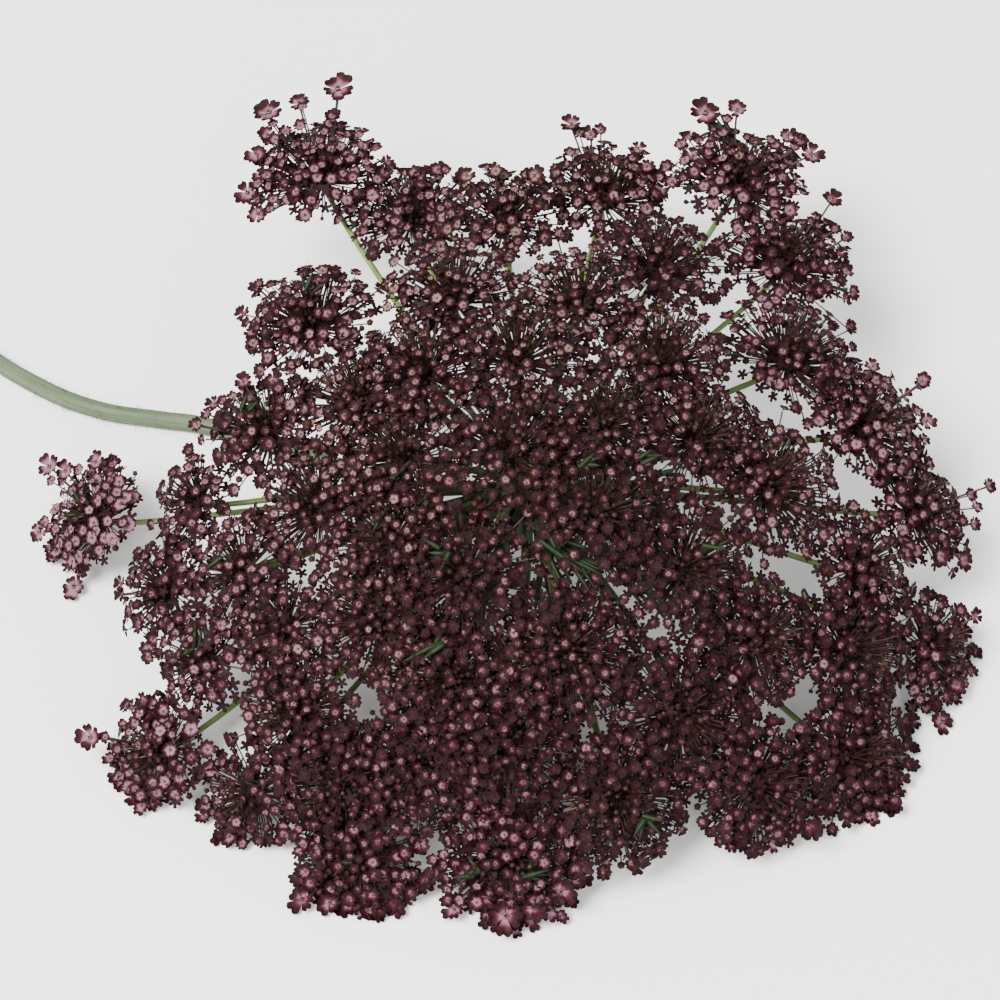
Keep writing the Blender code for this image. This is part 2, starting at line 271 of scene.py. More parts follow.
class Batch:
    """Collects many small triangle shapes that become one mesh."""

    def __init__(self, hue=USUAL_HUE):
        self.points, self.faces, self.places, self.tones, self.looks = [], [], [], [], []
        self.count = 0
        self.hue = hue

    def add(self, shape, turn=None, origin=None, look=0, tone=0.5, scale=1.0):
        """Add one copy of a shape: its points, faces and place values, turned and moved."""
        points, faces, places = shape
        moved = points * scale
        if turn is not None:
            moved = moved @ turn.T
        if origin is not None:
            moved = moved + origin
        self.points.append(moved)
        self.faces.append(faces + self.count)
        self.places.append(places)
        self.tones.append(np.full((len(points), 2), (tone, self.hue)))
        self.looks.append(np.full(len(faces), look))
        self.count += len(points)

    def build(self, name, materials):
        """Make one smooth-shaded mesh object of everything collected."""
        points = np.concatenate(self.points).astype(np.float32)
        points[:, 2] = np.maximum(points[:, 2], FLOOR_CLEARANCE)
        faces = np.concatenate(self.faces).astype(np.int32)
        corners = faces.ravel()
        mesh = bpy.data.meshes.new(name)
        mesh.vertices.add(len(points))
        mesh.vertices.foreach_set("co", points.ravel())
        mesh.loops.add(faces.size)
        mesh.loops.foreach_set("vertex_index", corners)
        mesh.polygons.add(len(faces))
        mesh.polygons.foreach_set("loop_start", np.arange(0, faces.size, 3, dtype=np.int32))
        mesh.polygons.foreach_set("material_index", np.concatenate(self.looks).astype(np.int32))
        mesh.update(calc_edges=True)
        for layer_name, values in (("place", self.places), ("tone", self.tones)):
            layer = mesh.uv_layers.new(name=layer_name)
            layer.data.foreach_set("uv", np.concatenate(values)[corners].astype(np.float32).ravel())
        mesh.shade_smooth()
        for material in materials:
            mesh.materials.append(material)
        thing = bpy.data.objects.new(name, mesh)
        bpy.context.collection.objects.link(thing)
        return thing


def unit(direction):
    """The same direction with a length of 1."""
    return direction / np.linalg.norm(direction)


def spin_z(angle):
    """A turn about +Z."""
    c, s = math.cos(angle), math.sin(angle)
    return np.array(((c, -s, 0), (s, c, 0), (0, 0, 1)))


def tilt_up(angle):
    """A turn that lifts +X towards +Z."""
    c, s = math.cos(angle), math.sin(angle)
    return np.array(((c, 0, -s), (0, 1, 0), (s, 0, c)))


def turn_to(facing, spin=0.0, outward=None):
    """A turn that takes +Z to the facing direction, and +X towards outward where given."""
    z = unit(np.array(facing, float))
    x = np.array(outward, float) if outward is not None else np.array((1.0, 0.1, 0.0))
    x = x - z * x.dot(z)
    if np.linalg.norm(x) < TINY:
        x = np.cross(z, (0.0, 1.0, 0.0))
    x = unit(x)
    return np.stack([x, np.cross(z, x), z], axis=1) @ spin_z(spin)


def grid_faces(rows, columns, closed=False):
    """Triangles of a grid of points, row after row, closed round each row if asked."""
    faces = []
    for row in range(rows - 1):
        for column in range(columns if closed else columns - 1):
            after = (column + 1) % columns
            a, b = row * columns + column, row * columns + after
            c, d = a + columns, b + columns
            faces += [(a, b, d), (a, d, c)]
    return faces


def petal_shape(across, along, notch=0.30):
    """One heart-shaped petal lying along +X from the floret's middle, facing +Z."""
    root, root_width, widening, cup = 0.10, 0.16, 1.12, 0.12
    points, places = [], []
    for row in range(along + 1):
        v = row / along
        spread = root_width + (1 - root_width) * math.sin(min(1.0, v * widening) * math.pi / 2) ** 0.9
        for column in range(across + 1):
            u = 2 * column / across - 1
            edge = 1 - notch * math.exp(-((u / 0.30) ** 2)) - 0.30 * abs(u) ** 3
            reach = root + (1 - root) * v * (1 - v * v * (1 - edge))
            fold = -0.10 * (1 - abs(u)) * math.sin(math.pi * v)
            inflexed = 0.40 * max(0.0, v - 0.75) * math.exp(-((u / 0.35) ** 2))
            height = cup * v * v + 0.08 * u * u * v + fold + inflexed
            points.append((reach, u * spread / 2, height))
            places.append((column / across, v))
    return np.array(points), np.array(grid_faces(along + 1, across + 1)), np.array(places)


def tube_shape(path, radii, sides, colours=(0.0, 1.0), ridges=0.0, close_end=True):
    """A tube along a path of points, with a radius at each and optional lengthwise ridges."""
    path = np.array(path, float)
    heading = np.gradient(path, axis=0)
    heading /= np.linalg.norm(heading, axis=1)[:, None]
    hint = np.array((0.0, 0.0, 1.0)) if abs(heading[0][2]) < 0.8 else np.array((1.0, 0.0, 0.0))
    first, last = colours
    points, places = [], []
    count = len(path)
    for number in range(count):
        hint = unit(hint - heading[number] * hint.dot(heading[number]))
        beside = np.cross(heading[number], hint)
        for side in range(sides):
            angle = math.tau * side / sides
            radius = radii[number] * (1 + ridges * (1 if side % 2 else -1))
            points.append(path[number] + (hint * math.cos(angle) + beside * math.sin(angle)) * radius)
            places.append((side / sides, first + (last - first) * number / (count - 1)))
    faces = grid_faces(count, sides, closed=True)
    if close_end:
        points.append(path[-1] + heading[-1] * radii[-1] * 0.6)
        places.append((0.5, last))
        tip, ring = len(points) - 1, (count - 1) * sides
        faces += [(ring + side, ring + (side + 1) % sides, tip) for side in range(sides)]
    return np.array(points), np.array(faces), np.array(places)


def ball_shape(width, height, sides, rings, v):
    """A small closed bead that stands on its foot, with v as its place along a petal."""
    points, places = [(0, 0, 0)], [(0.5, v)]
    for ring in range(1, rings):
        angle = math.pi * ring / rings
        level, rise = math.sin(angle) * width / 2, (1 - math.cos(angle)) * height / 2
        for side in range(sides):
            turn = math.tau * side / sides
            points.append((level * math.cos(turn), level * math.sin(turn), rise))
            places.append((side / sides, v * ring / rings))
    points.append((0, 0, height))
    places.append((0.5, v))
    top = len(points) - 1
    faces = [(0, 1 + (side + 1) % sides, 1 + side) for side in range(sides)]
    faces += [tuple(1 + corner for corner in face) for face in grid_faces(rings - 1, sides, closed=True)]
    ring = 1 + (rings - 2) * sides
    faces += [(ring + side, ring + (side + 1) % sides, top) for side in range(sides)]
    return np.array(points), np.array(faces), np.array(places)


def rosette_shape():
    """One shaded floret seen as a whole: five rounded lobes in a shallow cup."""
    corners, valley = 20, 0.40
    points, places = [(0, 0, 0)], [(0.5, 0.16)]
    for corner in range(corners):
        angle = math.tau * corner / corners
        lobe = abs(math.cos(2.5 * angle))
        reach = valley + (1 - valley) * lobe ** 0.6
        points.append((reach * math.cos(angle), reach * math.sin(angle), 0.12 * lobe))
        places.append((0.5 + 0.5 * (1 - lobe), 0.95))
    faces = [(0, 1 + corner, 1 + (corner + 1) % corners) for corner in range(corners)]
    return np.array(points), np.array(faces), np.array(places)


def diamond_tube(rings, steps):
    """A closed shape from rings of four points, with place values across and along it."""
    places = []
    for step in range(steps + 1):
        v = step / steps
        places += [(0.0, v), (0.5, v), (1.0, v), (0.5, v)]
    faces = grid_faces(steps + 1, 4, closed=True)
    last = steps * 4
    faces += [(0, 1, 2), (0, 2, 3), (last, last + 2, last + 1), (last, last + 3, last + 2)]
    return np.array(rings), np.array(faces)[:, ::-1], np.array(places)


def blade_shape(length, width, droop):
    """A thin pointed green leaf along +X, with a diamond section and a keel below."""
    steps = 4
    points = []
    for step in range(steps + 1):
        v = step / steps
        outline = 0.35 + 0.65 * math.sin(math.pi * min(1, 0.25 + v * 0.75))
        half = width / 2 * outline * (1 - v ** 3) + width * 0.02
        x, z = length * v, -droop * length * v * v
        edge, keel = z + half * 0.25, z - half * 0.5
        points += [(x, half, edge), (x, 0, z), (x, -half, edge), (x, 0, keel)]
    return diamond_tube(points, steps)


PETAL = petal_shape(across=4, along=2)
MIDDLE_PETAL = petal_shape(across=4, along=3)
FINE_PETAL = petal_shape(across=6, along=5, notch=0.22)
OVARY = ball_shape(0.55, 0.9, sides=4, rings=2, v=0.7)
CUSHION = ball_shape(0.44, 0.22, sides=4, rings=2, v=0.05)
ANTHER = ball_shape(0.16, 0.12, sides=4, rings=2, v=1.0)
BUD = ball_shape(1.0, 0.95, sides=5, rings=3, v=1.0)
ROSETTE = rosette_shape()
FILAMENT = tube_shape(
    [(0.16, 0, 0.06), (0.42, 0, 0.30), (0.66, 0, 0.42)], [0.028, 0.022, 0.018], 3, close_end=False
)
ANTHER_SPOT = np.array((0.66, 0, 0.40))


def petal_for(grown):
    """The petal's mesh, finer for a longer petal."""
    if grown > FINE_FROM:
        return FINE_PETAL
    return MIDDLE_PETAL if grown > MIDDLE_FROM else PETAL


def add_floret(batch, origin, turn, size, radiant, tone, draws):
    """One floret: ovary, cushion, five petals and a few stamens. A radiant one is longer outward."""
    batch.add(OVARY, turn, origin - turn[:, 2] * size * 0.55, CORE_LOOK, tone, size)
    batch.add(CUSHION, turn, origin, PETAL_LOOK, tone, size)
    grown = size * max(1.0, radiant)
    points, faces, places = petal_for(grown)
    breadth = NARROW_PETAL if grown > NARROW_FROM else BROAD_PETAL
    for number in range(5):
        angle = math.tau * number / 5
        length = size * (1 + (radiant - 1) * max(0.0, math.cos(angle)) ** 1.2)
        width = length * (breadth + 0.12 * draws.uniform(-1, 1))
        tilt = tilt_up(draws.uniform(-0.20, 0.24))
        petal = (points * (length, width, length * 0.9), faces, places)
        lean = turn @ spin_z(angle + draws.uniform(-0.08, 0.08)) @ tilt
        batch.add(petal, lean, origin, PETAL_LOOK, tone)
    for number in range(5):
        if draws.random() < 1 - STAMEN_ODDS:
            continue
        angle = math.tau * (number + 0.5) / 5
        lean = turn @ spin_z(angle + draws.uniform(-0.2, 0.2))
        long = size * draws.uniform(0.9, 1.25)
        batch.add(FILAMENT, lean, origin, CORE_LOOK, tone, long)
        batch.add(ANTHER, lean, origin + lean @ ANTHER_SPOT * long, CORE_LOOK, tone, size)


def umbellet_facts(name):
    """Read where one ray starts, where it ends, which way it faces and its size from the frame."""
    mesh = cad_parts[name].data
    points = np.empty(len(mesh.vertices) * 3, dtype=np.float32)
    mesh.vertices.foreach_get("co", points)
    points = points.reshape(-1, 3).astype(float)
    hub = np.array(HUB)
    away = np.linalg.norm(points - hub, axis=1)
    start = points[away < away.min() + FOOT_DEPTH].mean(axis=0)
    end = points[away > CAP_STARTS * away.max()].mean(axis=0)
    for _ in range(READING_ROUNDS):
        spot = HEAD_TURN.inverted() @ Vector(end - hub)
        reach = math.hypot(spot.x, spot.y)
        level = Vector((spot.x, spot.y, 0)) / max(reach, TINY)
        lean = LEAN_OF_RIM_UMBELLETS * (1 - UPRIGHT_AT_BACK * max(0.0, level.y))
        facing = HEAD_TURN @ (UP + level * lean * reach / RIM_REACH)
        axis = np.array(facing.normalized())
        top = points[(points @ axis).argmax()]
        below = (top - points) @ axis
        beside = np.linalg.norm(points - top + np.outer(below, axis), axis=1)
        size = beside[(below < CAP_SLOPE * beside) & (beside < CAP_WIDEST)].max()
        end = top - axis * CAP_TOP * size
    return start, end, axis, size, reach


class Umbellet:
    """One umbellet of the frame: its place, its own random draws and what grows on it."""

    def __init__(self, name, number):
        self.number = number
        self.draws = np.random.RandomState(FIRST_SEED + number)
        self.start, self.end, self.axis, self.size, reach = umbellet_facts(name)
        self.outness = min(1.0, reach / RIM_REACH)
        # The umbellet's tone is partly the florets' own colour and partly painted shade.
        self.tone = TONES_WITH_PAINTED_SHADE.get(number, USUAL_TONE)
        self.spread = SPREADS.get(number, USUAL_SPREAD) * MM
        outward = self.end - np.array(HUB)
        outward -= self.axis * outward.dot(self.axis)
        self.turn = turn_to(self.axis, 0.0, outward)
        self.petal = CROWN_PETAL + (RIM_PETAL - CROWN_PETAL) * self.outness
        self.florets = Batch(HUES.get(number, CROWN_HUE + (RIM_HUE - CROWN_HUE) * self.outness))
        self.stalks = Batch()


def make_umbellet(name, number, materials):
    """Dress one umbellet: returns its florets and its stalks as two pieces."""
    umbellet = Umbellet(name, number)
    cells = math.pi * umbellet.spread * umbellet.spread / (FLORET_SPACING ** 2 * HEX_CELL)
    count = max(FEWEST_FLORETS, int(cells))
    add_ray(umbellet)
    add_bracteoles(umbellet)
    add_under_layer(umbellet, count)
    add_open_florets(umbellet, count)
    add_strays(umbellet)
    add_green_tips(umbellet)
    add_threads(umbellet)
    return (
        umbellet.florets.build(f"florets_{number:02d}", materials["floret"]),
        umbellet.stalks.build(f"stalks_{number:02d}", materials["stalk"]),
    )


def ray_points(umbellet):
    """The ray's centre line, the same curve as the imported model's, rooted in the receptacle."""
    start_direction = Vector(umbellet.start - np.array(HUB)).normalized()
    first, last = Vector(umbellet.start), Vector(umbellet.end)
    leaving = first + start_direction * (last - first).length * RAY_START_PULL
    arriving = last - Vector(umbellet.axis) * RAY_END_PULL
    curve = geometry.interpolate_bezier(first, leaving, arriving, last, RAY_STEPS + 1)
    path = np.array([tuple(point) for point in curve])
    path[0] = path[0] - unit(path[1] - path[0]) * RAY_ROOT_DEPTH
    return path


def add_ray(umbellet):
    """The ridged ray from the receptacle to the umbellet, with fine bristles."""
    draws = umbellet.draws
    path = ray_points(umbellet)
    steps = len(path)
    radii = [RAY_RADIUS * (1 - RAY_TAPER * number / steps) for number in range(steps)]
    radii[-1] *= RAY_END_SWELL
    umbellet.stalks.add(tube_shape(path, radii, RAY_SIDES, RAY_COLOURS, RAY_RIDGE), look=STALK_LOOK)
    for _ in range(RAY_BRISTLES):
        where = draws.randint(1, steps - 1)
        heading = path[where + 1] - path[where - 1]
        side = unit(np.cross(heading, draws.normal(size=3)))
        root = path[where] + heading * draws.uniform(-0.5, 0.5) + side * radii[where] * 0.9
        tip = root + side * draws.uniform(0.25, 0.45) * MM + unit(heading) * 0.15 * MM
        bristle = tube_shape([root, tip], [0.045 * MM, 0.012 * MM], 3, BRISTLE_COLOURS)
        umbellet.stalks.add(bristle, look=STALK_LOOK)


def add_bracteoles(umbellet):
    """Narrow green leaves in a ring under the pedicels."""
    draws = umbellet.draws
    for number in range(BRACTEOLES):
        angle = math.tau * number / BRACTEOLES + draws.uniform(-0.25, 0.25)
        length = umbellet.size * draws.uniform(0.55, 0.95)
        blade = blade_shape(length, BRACTEOLE_WIDTH, droop=draws.uniform(-0.35, 0.05))
        turn = umbellet.turn @ spin_z(angle) @ tilt_up(draws.uniform(0.15, 0.55))
        umbellet.stalks.add(blade, turn, umbellet.end, BRACTEOLE_LOOK)


def add_pedicel(umbellet, head, thickness=1.0):
    """One thin floret stalk, which bends up from the ray's end to its floret."""
    foot = umbellet.end
    rise = float((head - foot) @ umbellet.axis)
    bend = foot + (head - foot) * 0.5 - umbellet.axis * rise * 0.14
    bend = bend + umbellet.draws.normal(size=3) * 0.12 * MM
    radii = [0.13 * MM * thickness, 0.10 * MM * thickness, 0.12 * MM * thickness]
    pedicel = tube_shape([foot, bend, head], radii, 3, PEDICEL_COLOURS, close_end=False)
    umbellet.stalks.add(pedicel, look=STALK_LOOK)


def above_table(spot):
    """Lift a floret that would dip into the table, as the table itself does."""
    if spot[2] < LOWEST_FLORET:
        spot = spot * (1, 1, 0.25) + (0, 0, LOWEST_FLORET * 0.75)
    return spot


def held_up(facing, spot):
    """Turn a floret that lies on the table to face up from it."""
    facing = unit(facing)
    if spot[2] < NEAR_TABLE:
        facing = facing + (0, 0, 1.4 * (1 - spot[2] / NEAR_TABLE) + 0.3)
    return unit(facing)


def add_under_layer(umbellet, open_count):
    """Darker florets and buds on shorter stalks, which fill the shade under the open florets. The florets'
    dark tone is painted shade.
    """
    draws, spread, florets = umbellet.draws, umbellet.spread, umbellet.florets
    count = int(open_count * (FRONT_UNDER_SHARE if umbellet.number in FRONT_UMBELLETS else UNDER_SHARE))
    for place in range(count):
        rho = spread * UNDER_REACH * math.sqrt((place + 0.5) / count)
        angle = GOLDEN_ANGLE * place + 1.0
        height = spread * (UNDER_TOP - UNDER_DROOP * (rho / spread) ** 2) + 0.5 * MM * draws.normal()
        local = np.array((rho * math.cos(angle), rho * math.sin(angle), max(height, UNDER_LEAST_HEIGHT)))
        spot = above_table(umbellet.end + umbellet.turn @ local)
        leaning = np.array((local[0], local[1], spread * 1.2)) / spread
        leaning[:2] += 0.35 * draws.normal(size=2)
        turn = turn_to(held_up(umbellet.turn @ leaning, spot), draws.uniform(0, ANY_SPIN))
        if draws.random() < UNDER_BUD_ODDS:
            florets.add(BUD, turn, spot, CORE_LOOK, 0.0, umbellet.petal * draws.uniform(0.7, 1.2))
        else:
            # Painted shade: each under-layer floret takes a dark tone.
            tone = UNDER_PAINTED_SHADE_TONE + 0.15 * draws.normal()
            florets.add(ROSETTE, turn, spot, PETAL_LOOK, tone, umbellet.petal * draws.uniform(0.75, 1.1))
        radii = [0.11 * MM, 0.10 * MM]
        stalk = tube_shape([umbellet.end, spot], radii, 3, UNDER_STALK_COLOURS, close_end=False)
        umbellet.stalks.add(stalk, look=STALK_LOOK)


def add_open_florets(umbellet, count):
    """The florets on their spiral over the dome, where some in the middle are still buds."""
    draws, spread, number = umbellet.draws, umbellet.spread, umbellet.number
    petal = umbellet.petal * (LARGER if number in LARGE_FLORETED else 1.0)
    for place in range(count):
        share = (place + 0.5) / count
        angle = GOLDEN_ANGLE * place + draws.uniform(-0.22, 0.22)
        wobble = 1 + 0.09 * math.sin(3 * angle + number) + 0.07 * math.sin(5 * angle + 2 * number)
        rho = spread * wobble * share ** SPIRAL_POWER * (1 + 0.07 * draws.normal())
        edge = rho / spread
        stands_out = share > STAND_OUT_FROM and draws.random() < STAND_OUT_ODDS
        if stands_out and umbellet.end[2] > CLEAR_OF_TABLE:
            rho *= draws.uniform(1.05, 1.22)
        height = spread * (DOME_TOP - DOME_DROOP * edge ** 2) + 0.45 * MM * draws.normal()
        local = np.array((rho * math.cos(angle), rho * math.sin(angle), height))
        spot = above_table(umbellet.end + umbellet.turn @ local)
        normal = np.array((local[0], local[1], 0)) / spread * (0.75 + 0.2 * draws.normal())
        normal[2] = 1.0
        normal[:2] += 0.24 * draws.normal(size=2)
        facing = held_up(umbellet.turn @ normal + np.array(VIEW_BACK) * LEAN_TO_VIEW, spot)
        away = umbellet.turn @ np.array((math.cos(angle), math.sin(angle), 0))
        add_pedicel(umbellet, spot - facing * petal * 0.5)
        if share < BUDS_UP_TO and draws.random() < BUD_ODDS:
            turn = turn_to(facing, draws.uniform(0, ANY_SPIN), away)
            size = petal * draws.uniform(0.6, 0.9)
            umbellet.florets.add(BUD, turn, spot, CORE_LOOK, umbellet.tone, size)
            continue
        radiant = 1.0
        if share > RADIANT_FROM:
            radiant = 1.1 + 0.40 * umbellet.outness ** 2 * max(0.0, math.cos(angle) + 0.35)
            radiant *= draws.uniform(0.85, 1.15)
        size = petal * draws.uniform(0.72, 1.18) * (0.70 + 0.34 * edge)
        turn = turn_to(facing, draws.uniform(-0.25, 0.25), away)
        tone = umbellet.tone + 0.20 * draws.normal()
        add_floret(umbellet.florets, spot, turn, size, radiant, tone, draws)


def add_strays(umbellet):
    """The long-stalked radiant florets that stand out from this umbellet."""
    draws, florets, tone = umbellet.draws, umbellet.florets, umbellet.tone
    foot = umbellet.end + umbellet.axis * umbellet.spread * STRAY_FOOT
    for owner, right, up, petal in STRAYS:
        if owner != umbellet.number:
            continue
        sideways = np.array(VIEW_RIGHT) * right + np.array(VIEW_UP) * up
        spot = above_table(foot + sideways * MM)
        facing = held_up(umbellet.axis * 0.7 + sideways * 0.035 + np.array(VIEW_BACK) * 0.6, spot)
        turn = turn_to(facing, draws.uniform(-0.25, 0.25), sideways)
        down = turn[:, 2] * PEDICEL_INTO_FLORET
        add_pedicel(umbellet, spot - down, STRAY_THICKNESS)
        add_floret(florets, spot, turn, petal * MM * STRAY_SIZE, STRAY_RADIANT, tone, draws)
        for share in COMPANION_SHARES:
            beside = above_table(foot + (sideways * share + 0.8 * draws.normal(size=3)) * MM)
            add_pedicel(umbellet, beside - down)
            add_floret(florets, beside, turn, RIM_PETAL * draws.uniform(0.85, 1.1), 1.2, tone, draws)


def add_green_tips(umbellet):
    """Narrow green leaf tips that show between this umbellet's florets."""
    draws = umbellet.draws
    view_right, view_up = np.array(VIEW_RIGHT), np.array(VIEW_UP)
    foot = umbellet.end + umbellet.axis * umbellet.spread * GREEN_TIP_HEIGHT
    for owner, right, up, count, heading, fan, length in GREEN_TIPS:
        if owner != umbellet.number:
            continue
        for _ in range(count):
            angle = math.radians(heading + fan * draws.uniform(-1, 1))
            along = view_right * math.cos(angle) + view_up * math.sin(angle)
            root = foot + (view_right * right + view_up * up) * MM
            root = above_table(root + 0.5 * MM * draws.normal(size=3))
            reach = length * MM * draws.uniform(0.8, 1.3)
            blade = blade_shape(reach, GREEN_TIP_WIDTH, droop=draws.uniform(-0.1, 0.3))
            umbellet.stalks.add(blade, turn_to(np.array(VIEW_BACK), 0.0, along), root, GREEN_TIP_LOOK)


def add_threads(umbellet):
    """Fine brown threads in the middle of an umbellet."""
    draws = umbellet.draws
    for _ in range(THREADS):
        lean = 0.55 * math.sqrt(draws.random())
        angle = draws.uniform(0, math.tau)
        up = np.array((math.cos(angle) * lean, math.sin(angle) * lean, 1.0))
        tip = umbellet.end + umbellet.turn @ up * umbellet.spread * draws.uniform(0.60, 0.76)
        root = umbellet.end + umbellet.turn @ up * umbellet.spread * 0.2
        thread = tube_shape([root, tip], [0.09 * MM, 0.05 * MM], 3, THREAD_COLOURS, close_end=False)
        umbellet.stalks.add(thread, look=STALK_LOOK)


class Look:
    """A Principled material in the making, with short ways to add and link its nodes."""

    def __init__(self, name):
        self.material = bpy.data.materials.new(name)
        self.material.use_nodes = True
        self.tree = self.material.node_tree
        self.shader = self.tree.nodes["Principled BSDF"]

    def node(self, kind, inputs=None, **settings):
        """Add one node with its settings, and give each input a value or a link."""
        node = self.tree.nodes.new(kind)
        for key, value in settings.items():
            setattr(node, key, value)
        for key, value in (inputs or {}).items():
            if isinstance(value, bpy.types.NodeSocket):
                self.tree.links.new(value, node.inputs[key])
            else:
                node.inputs[key].default_value = value
        return node

    def maths(self, operation, first, second=0.0, clamp=False):
        """One maths node."""
        inputs = {0: first, 1: second}
        return self.node("ShaderNodeMath", inputs, operation=operation, use_clamp=clamp).outputs[0]

    def swing(self, value, amount):
        """A value from 0 to 1 as an offset to either side of 0."""
        return self.maths("MULTIPLY", self.maths("SUBTRACT", value, 0.5), amount)

    def from_midline(self, across):
        """0 on a shape's midline and 1 at both its sides."""
        return self.maths("ABSOLUTE", self.maths("SUBTRACT", self.maths("MULTIPLY", across, 2.0), 1.0))

    def layer(self, name):
        """One of the mesh's two layers: the whole vector, then its two values."""
        vector = self.node("ShaderNodeUVMap", uv_map=name).outputs[0]
        split = self.node("ShaderNodeSeparateXYZ", {0: vector})
        return vector, split.outputs[0], split.outputs[1]

    def mottle(self, scale, detail):
        """Noise that is fixed to the object."""
        place = self.node("ShaderNodeTexCoord").outputs["Object"]
        return self.node("ShaderNodeTexNoise", {"Vector": place, "Scale": scale, "Detail": detail}).outputs[0]

    def piece_by_piece(self):
        """A random value for each separate petal, bead or stamen."""
        return self.node("ShaderNodeNewGeometry").outputs["Random Per Island"]

    def ramp(self, factor, stops):
        """A colour ramp with the given places and colours."""
        node = self.node("ShaderNodeValToRGB", {"Fac": factor})
        bands = node.color_ramp.elements
        while len(bands) < len(stops):
            bands.new(0.5)
        for band, (place, colour) in zip(bands, stops):
            band.position = place
            band.color = (*colour, 1)
        return node.outputs["Color"]

    def mix(self, factor, first, second, blend="MIX"):
        """Two colours mixed."""
        inputs = {"Factor": factor, 6: first, 7: second}
        return self.node("ShaderNodeMix", inputs, data_type="RGBA", blend_type=blend).outputs[2]

    def paint(self, colour):
        """Give the shader its colour."""
        self.tree.links.new(colour, self.shader.inputs["Base Color"])

    def roughen(self, pattern, least, most):
        """Let the roughness follow a pattern, between two values."""
        rough = self.node("ShaderNodeMapRange", {"Value": pattern, "To Min": least, "To Max": most})
        self.tree.links.new(rough.outputs[0], self.shader.inputs["Roughness"])

    def bump(self, pattern, strength, depth):
        """Let fine relief follow a pattern."""
        bump = self.node("ShaderNodeBump", {"Height": pattern, "Strength": strength, "Distance": depth})
        self.tree.links.new(bump.outputs[0], self.shader.inputs["Normal"])

    def shine(self, level):
        """Set how strongly the surface reflects."""
        self.shader.inputs["Specular IOR Level"].default_value = level


# From a petal's base to its margin.
PETAL_COLOURS = (
    (0.0, (0.180, 0.120, 0.126)),
    (0.18, (0.120, 0.062, 0.070)),
    (0.31, (0.044, 0.0064, 0.0120)),
    (0.47, (0.0145, 0.0009, 0.0025)),
    (0.75, (0.0078, 0.0003, 0.0008)),
    (1.0, (0.0052, 0.0003, 0.0005)),
)
VEIN_COLOUR = (0.030, 0.006, 0.011, 1)
HUE_TINTS = ((0.0, (0.86, 0.98, 0.66)), (0.5, (1.0, 0.92, 0.92)), (1.0, (1.05, 0.72, 1.04)))


def petal_material():
    """Dusty pink at the petal's base, burgundy to near black at its margin, with fine veins."""
    look = Look("petal")
    place, across, along = look.layer("place")
    _, tone, hue = look.layer("tone")
    sides = look.maths("POWER", look.from_midline(across), 2.2)
    margin = look.maths("MULTIPLY", sides, look.maths("POWER", along, 0.6))
    edge = look.maths("MAXIMUM", look.maths("MULTIPLY", margin, 0.92), look.maths("POWER", along, 1.3))
    # The tone layer darkens or pales the petals: partly their own colour, partly painted shade from the
    # umbellets' tones and the dark under-layer.
    shifted = look.maths("SUBTRACT", edge, look.swing(tone, 0.62))
    mottle = look.mottle(1400.0, 3.0)
    blotched = look.maths("ADD", shifted, look.swing(mottle, 0.34))
    value = look.maths("ADD", blotched, look.swing(look.piece_by_piece(), 0.22), clamp=True)
    inputs = {"Vector": place, "Scale": 3.2, "Distortion": 1.2}
    veins = look.node("ShaderNodeTexWave", inputs, wave_profile="SIN").outputs["Fac"]
    veined = look.mix(look.maths("MULTIPLY", veins, 0.22), look.ramp(value, PETAL_COLOURS), VEIN_COLOUR)
    look.paint(look.mix(1.0, veined, look.ramp(hue, HUE_TINTS), "MULTIPLY"))
    look.roughen(mottle, 0.50, 0.78)
    look.bump(veins, 0.25, 0.06 * MM)
    look.shine(0.12)
    return look.material


CORE_COLOURS = (
    (0.18, (0.0045, 0.0010, 0.0009)),
    (0.45, (0.014, 0.0040, 0.0030)),
    (0.68, (0.030, 0.012, 0.0075)),
    (0.90, (0.070, 0.040, 0.026)),
)


def core_material():
    """Ovaries, buds and stamens: brownish maroon with a paler bloom."""
    look = Look("floret_core")
    mottle = look.mottle(2200.0, 4.0)
    lot = look.maths("MULTIPLY", look.piece_by_piece(), 0.4)
    look.paint(look.ramp(look.maths("ADD", look.maths("MULTIPLY", mottle, 0.6), lot), CORE_COLOURS))
    look.roughen(mottle, 0.45, 0.8)
    look.bump(mottle, 0.4, 0.05 * MM)
    look.shine(0.10)
    return look.material


STALK_COLOURS = (
    (0.0, (0.018, 0.040, 0.010)),
    (0.14, (0.045, 0.080, 0.018)),
    (0.26, (0.105, 0.170, 0.028)),
    (0.38, (0.110, 0.155, 0.038)),
    (0.52, (0.050, 0.040, 0.015)),
    (0.72, (0.034, 0.0120, 0.0075)),
    (1.0, (0.0180, 0.0022, 0.0024)),
)


def stalk_material():
    """Rays and pedicels: yellow-green at the hub, flushed maroon towards the florets."""
    look = Look("stalk")
    place, _, along = look.layer("place")
    mottle = look.mottle(420.0, 5.0)
    look.paint(look.ramp(look.maths("ADD", along, look.swing(mottle, 0.35), clamp=True), STALK_COLOURS))
    look.roughen(mottle, 0.45, 0.75)
    streaks = look.node("ShaderNodeTexNoise", {"Vector": place, "Scale": 40.0, "Detail": 2.0})
    look.bump(streaks.outputs[0], 0.3, 0.05 * MM)
    return look.material


def leaf_material(name, deep, light, tip):
    """Green leaf with a lighter midrib, deeper margins and darker tips."""
    look = Look(name)
    _, across, along = look.layer("place")
    mottle = look.mottle(700.0, 4.0)
    mixed = look.maths("ADD", look.from_midline(across), look.swing(mottle, 0.8))
    body = look.ramp(mixed, ((0.0, light), (0.45, deep), (1.0, tuple(0.6 * part for part in deep))))
    look.paint(look.mix(look.maths("POWER", along, 6.0), body, (*tip, 1)))
    look.roughen(mottle, 0.5, 0.78)
    look.bump(mottle, 0.35, 0.08 * MM)
    look.shine(0.15)
    return look.material


STEM_COLOURS = (
    (0.30, (0.045, 0.064, 0.030)),
    (0.48, (0.078, 0.104, 0.056)),
    (0.62, (0.100, 0.128, 0.076)),
    (0.78, (0.092, 0.086, 0.060)),
)


